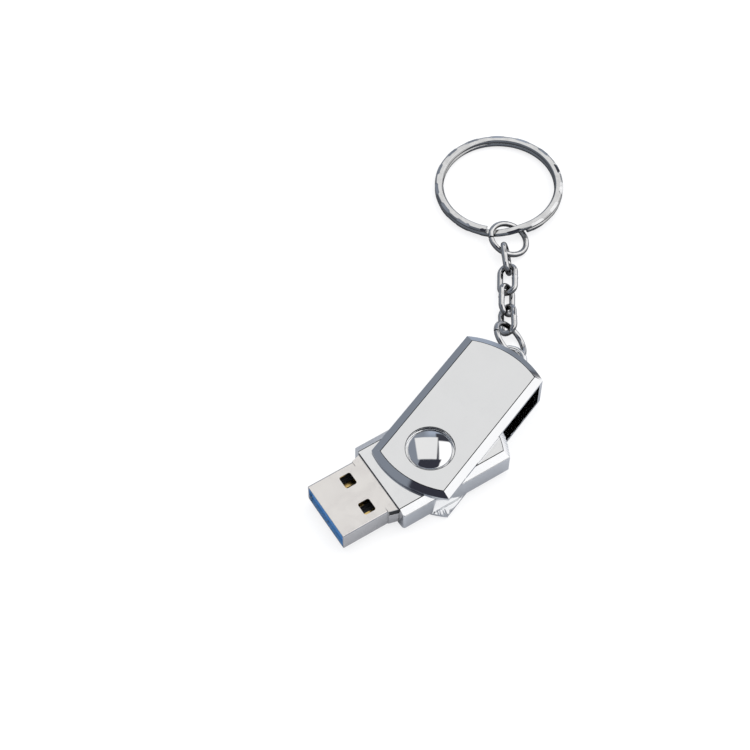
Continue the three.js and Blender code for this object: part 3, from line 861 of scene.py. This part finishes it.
def wireStart(x, y, radius, sides=20):
    # a round wire's end face at (x, y), facing along +X
    bm = bmesh.new()
    quarter = Matrix.Translation((x, y, 0)) @ Matrix.Rotation(math.radians(90), 4, "Y")
    bmesh.ops.create_circle(bm, cap_ends=True, radius=radius, segments=sides, matrix=quarter)
    return bm, bm.faces[:]


def goOn(bm, faces, vec):
    made = bmesh.ops.extrude_face_region(bm, geom=faces)["geom"]
    bmesh.ops.translate(bm, vec=vec, verts=[v for v in made if isinstance(v, bmesh.types.BMVert)])
    return [f for f in made if isinstance(f, bmesh.types.BMFace)]


def swell(bm, faces, factor):
    verts = list({v for f in faces for v in f.verts})
    centre = sum((v.co for v in verts), Vector()) / len(verts)
    bmesh.ops.scale(bm, vec=(1, factor, factor), verts=verts, space=Matrix.Translation(-centre))


def jumpRingMesh():
    bm, faces = wireStart(0, -jumpRing["radius"], jumpRing["wire"] / 2)
    turn = math.radians(360 - jumpRing["gap"])
    bmesh.ops.spin(bm, geom=faces, cent=(0, 0, 0), axis=up, angle=turn, steps=100)
    rims = [e for e in bm.edges if e.is_manifold and e.calc_face_angle(0) > 1.2]
    roundEdges(bm, rims, 0.12, 3)
    gapAt = Matrix.Rotation(math.radians(90 + jumpRing["gapAt"]), 4, "Z")
    bmesh.ops.transform(bm, matrix=gapAt, verts=bm.verts)
    return bm


def linkMesh(weldSide):
    radius = (link["width"] - link["wire"]) / 2
    straight = (link["length"] - link["wire"]) / 2 - radius
    bm, faces = wireStart(-straight, -radius, link["wire"] / 2)
    bump = link["weldHalf"]
    for side in (1, -1):
        if side == weldSide:
            faces = goOn(bm, faces, (side * (straight - bump), 0, 0))
            for grow in (link["weld"], 1 / link["weld"]):
                faces = goOn(bm, faces, (side * bump, 0, 0))
                swell(bm, faces, grow)
            faces = goOn(bm, faces, (side * (straight - bump), 0, 0))
        else:
            faces = goOn(bm, faces, (2 * side * straight, 0, 0))
        made = bmesh.ops.spin(bm, geom=faces, cent=(side * straight, 0, 0), axis=up,
                              angle=math.pi, steps=28)
        faces = [f for f in made["geom_last"] if isinstance(f, bmesh.types.BMFace)]
    bmesh.ops.remove_doubles(bm, verts=bm.verts, dist=1e-3)
    doubled = [f for f in bm.faces if len(f.verts) > 4]
    bmesh.ops.delete(bm, geom=doubled, context="FACES_ONLY")
    return bm


def buildChain():
    for i in range(4):
        node = f"chain_link_{i + 1}"
        weldSide = 1 if chainPlaces[node]["roll"] < 0 else -1  # the side that is up
        finishPiece(f"chainLink{i + 1}", linkMesh(weldSide), looks["chainSteel"], node, [node],
                    turn=laidOut(node))
    for name, node in (("lowerJumpRing", "lower_jump_ring"), ("upperJumpRing", "upper_jump_ring")):
        finishPiece(name, jumpRingMesh(), looks["chainSteel"], node, [node],
                    turn=laidOut(node))


# Split ring: flat wire in two turns, its outer corners pressed into short flats.
splitRing = {
    "radius": 11.95, "section": 1.7, "turn": 0.86, "gap": 0.1, "crossover": 38.0,
    "corner": 0.34, "flats": 15, "flatShare": 0.47, "flatWide": 0.66, "flatDeep": 0.2, "softEdge": 0.06,
}


def pressed(degrees):
    # 1 on a pressed flat and 0 between two of them
    phase = (degrees * splitRing["flats"] / 360) % 1
    return 1.0 if phase < splitRing["flatShare"] else 0.0


def sectionAt(degrees):
    wide, high, corner = splitRing["section"] / 2, splitRing["turn"] / 2, splitRing["corner"]
    half = splitRing["crossover"] / 2
    t = min(max((degrees - (360 - half)) / (2 * half), 0), 1)
    ramp = t * t * (3 - 2 * t)
    z = high + (splitRing["turn"] + splitRing["gap"]) * ramp
    flat = pressed(degrees)
    topOut = (corner + flat * ramp * (splitRing["flatWide"] - corner),
              corner + flat * ramp * (splitRing["flatDeep"] - corner))
    lowOut = (corner + flat * (1 - ramp) * (splitRing["flatWide"] - corner),
              corner + flat * (1 - ramp) * (splitRing["flatDeep"] - corner))
    outline = [(-wide + corner, -high), (wide - lowOut[0], -high), (wide, -high + lowOut[1]),
               (wide, high - topOut[1]), (wide - topOut[0], high), (-wide + corner, high),
               (-wide, high - corner), (-wide, -high + corner)]
    a = math.radians(degrees)
    return [Vector(((splitRing["radius"] + r) * math.cos(a), (splitRing["radius"] + r) * math.sin(a), z + h))
            for r, h in outline]


def buildSplitRing():
    start = splitRing["crossover"] / 2
    stepSize = 2.0
    steps = round((720 - 2 * start) / stepSize)
    bm = bmesh.new()
    first = face = bm.faces.new([bm.verts.new(p) for p in sectionAt(start)])
    for i in range(1, steps + 1):
        grown = bmesh.ops.extrude_face_region(bm, geom=[face])["geom"]
        face = next(f for f in grown if isinstance(f, bmesh.types.BMFace))
        for loop, point in zip(face.loops, sectionAt(start + i * stepSize)):
            loop.vert.co = point
    sections = [f for f in bm.faces if len(f.verts) > 4 and f not in (first, face)]
    bmesh.ops.delete(bm, geom=sections, context="FACES_ONLY")
    finishPiece("splitRing", bm, looks["ringSteel"], "split_ring", ["split_ring"],
                turn=laidOut("split_ring"), edge=splitRing["softEdge"])


buildChain()
buildSplitRing()
print("chain and rings done")


# Camera, floor and studio light.
view = {"place": (-132.64, -83.26, 278.65), "forward": (0.4349, 0.3127, -0.8444), "roll": 0.179,
        "lens": 84.33, "sensor": 36.0}


def buildCamera():
    data = bpy.data.cameras.new("camera")
    data.lens = view["lens"]
    data.sensor_width = view["sensor"]
    data.clip_start, data.clip_end = 0.01, 50
    camera = bpy.data.objects.new("camera", data)
    bpy.context.scene.collection.objects.link(camera)
    camera.rotation_mode = "QUATERNION"
    aim = Vector(view["forward"]).to_track_quat("-Z", "Y").to_matrix().to_4x4()
    rolled = aim @ Matrix.Rotation(math.radians(view["roll"]), 4, "Z")
    camera.location = Vector(view["place"]) * mm
    camera.rotation_quaternion = rolled.to_quaternion()
    bpy.context.scene.camera = camera


floorLook = {"size": 6.0, "seen": (0.25, 0.25, 0.25, 1), "mirrored": (0.37, 0.385, 0.415, 1),
             "glow": (0.76, 0.76, 0.765, 1)}


def buildFloor():
    bm = bmesh.new()
    bmesh.ops.create_grid(bm, x_segments=1, y_segments=1, size=floorLook["size"] / 2)
    bmesh.ops.translate(bm, vec=(0, 0, cadBox[0].z - 0.00002), verts=bm.verts)
    floor = newObject("floor", bm)
    material, tree, shader, place = newMaterial("paperFloor")
    path = addNode(tree, "ShaderNodeLightPath")
    paper = addNode(tree, "ShaderNodeTexNoise", {"Vector": place, "Scale": 900.0, "Detail": 3.0})
    # the paper looks white, and darker in the polished metal, as if the room took up its light
    seen = path.outputs["Is Camera Ray"]
    tone = mixColour(tree, seen, floorLook["mirrored"], floorLook["seen"])
    tree.links.new(tone, shader.inputs["Base Color"])
    glow = mixColour(tree, seen, (0, 0, 0, 1), floorLook["glow"])
    tree.links.new(glow, shader.inputs["Emission Color"])
    shader.inputs["Emission Strength"].default_value = 1.0
    tree.links.new(remap(tree, paper.outputs[0], 0, 1, 0.75, 0.95), shader.inputs["Roughness"])
    shader.inputs["Specular IOR Level"].default_value = 0.0
    floor.data.materials.append(material)


# The studio is laid out by slope: a polished face that tips sideways and away from the viewer by these
# slopes mirrors the card at that spot.
studio = {
    "keyElevation": 57.6, "keyHeading": (0.812, 0.584, 0.0), "sideways": (0.5838, -0.8119, 0.0),
    "walls": (0.225, 0.25, 0.295, 1),
    "cards": [
        dict(name="far wall", x=(-0.02, 0.27), y=(0.19, 1.2), soft=0.05, tone=(0.36, 0.41, 0.50, 1)),
        dict(name="side frame", x=(0.112, 3.0), y=(-0.75, 0.24), soft=0.012, tone=(0.045, 0.047, 0.06, 1)),
        dict(name="side light", x=(0.147, 3.0), y=(-0.70, 0.10), soft=0.01, tone=(1.06, 1.06, 1.07, 1)),
        dict(name="far side light", x=(0.50, 3.0), y=(-0.10, 0.45), soft=0.04, tone=(1.0, 1.0, 1.02, 1)),
        dict(name="overhead light", x=(-0.187, 0.126), y=(-0.20, 0.162), soft=0.008, taper=0.65,
             tone=(0.80, 0.80, 0.80, 1)),
        dict(name="viewer", x=(-0.047, 0.27), y=(-0.60, -0.202), soft=0.008, lean=0.43,
             tone=(0.035, 0.036, 0.05, 1)),
    ],
    "fill": 2.6, "fillAngle": 70.0,
}


def softCard():
    tree, given, made = newGroup(
        "softCard",
        [(label, "NodeSocketFloat", 0.0)
         for label in ("Across", "Away", "Left", "Right", "Near", "Far", "Soft", "Taper", "Lean")],
        [("Mask", "NodeSocketFloat")])
    # a tapered card is wider at its far side, and a leaning one steps sideways as it goes away
    upright = math2(tree, "SUBTRACT", given["Across"], math2(tree, "MULTIPLY", given["Away"], given["Lean"]))
    spread = math2(tree, "ADD", math2(tree, "MULTIPLY", given["Away"], given["Taper"]), 1.0)
    straight = math2(tree, "DIVIDE", upright, math2(tree, "MAXIMUM", spread, 0.2))
    parts = []
    for value, low, high in ((straight, "Left", "Right"), (given["Away"], "Near", "Far")):
        for edge, sign in ((low, 1), (high, -1)):
            past = math2(tree, "SUBTRACT", value, given[edge])
            scaled = math2(tree, "DIVIDE", past, given["Soft"])
            signed = math2(tree, "MULTIPLY", scaled, 0.5 * sign)
            parts.append(math2(tree, "ADD", signed, 0.5, clamp=True))
    mask = parts[0]
    for part in parts[1:]:
        mask = math2(tree, "MULTIPLY", mask, part)
    tree.links.new(mask, made["Mask"])
    return tree


def buildStudio():
    world = bpy.data.worlds.new("studio")
    bpy.context.scene.world = world
    world.use_nodes = True
    tree = world.node_tree
    direction = addNode(tree, "ShaderNodeTexCoord").outputs["Generated"]

    def along(axis):
        node = addNode(tree, "ShaderNodeVectorMath", {0: direction, 1: axis}, operation="DOT_PRODUCT")
        return node.outputs["Value"]

    elevation = math.radians(studio["keyElevation"])
    height = math2(tree, "MAXIMUM", math2(tree, "ADD", along(up), math.sin(elevation)), 0.05)
    across = math2(tree, "DIVIDE", along(studio["sideways"]), height)
    away = math2(tree, "DIVIDE", math2(tree, "SUBTRACT", along(studio["keyHeading"]), math.cos(elevation)), height)
    card = softCard()
    tone = studio["walls"]
    for spec in studio["cards"]:
        node = addNode(tree, "ShaderNodeGroup", node_tree=card)
        values = {"Left": spec["x"][0], "Right": spec["x"][1], "Near": spec["y"][0], "Far": spec["y"][1],
                  "Soft": spec["soft"], "Taper": spec.get("taper", 0), "Lean": spec.get("lean", 0)}
        for label, value in values.items():
            node.inputs[label].default_value = value
        tree.links.new(across, node.inputs["Across"])
        tree.links.new(away, node.inputs["Away"])
        tone = mixColour(tree, node.outputs["Mask"], tone, spec["tone"])
    tree.links.new(tone, tree.nodes["Background"].inputs["Color"])
    lamp = bpy.data.lights.new("fillLight", "SUN")
    lamp.energy = studio["fill"]
    lamp.angle = math.radians(studio["fillAngle"])
    fill = bpy.data.objects.new("fillLight", lamp)
    bpy.context.scene.collection.objects.link(fill)
    fill.visible_glossy = False


buildCamera()
buildFloor()
buildStudio()
bpy.context.scene.view_settings.view_transform = "Standard"
print("stage done")
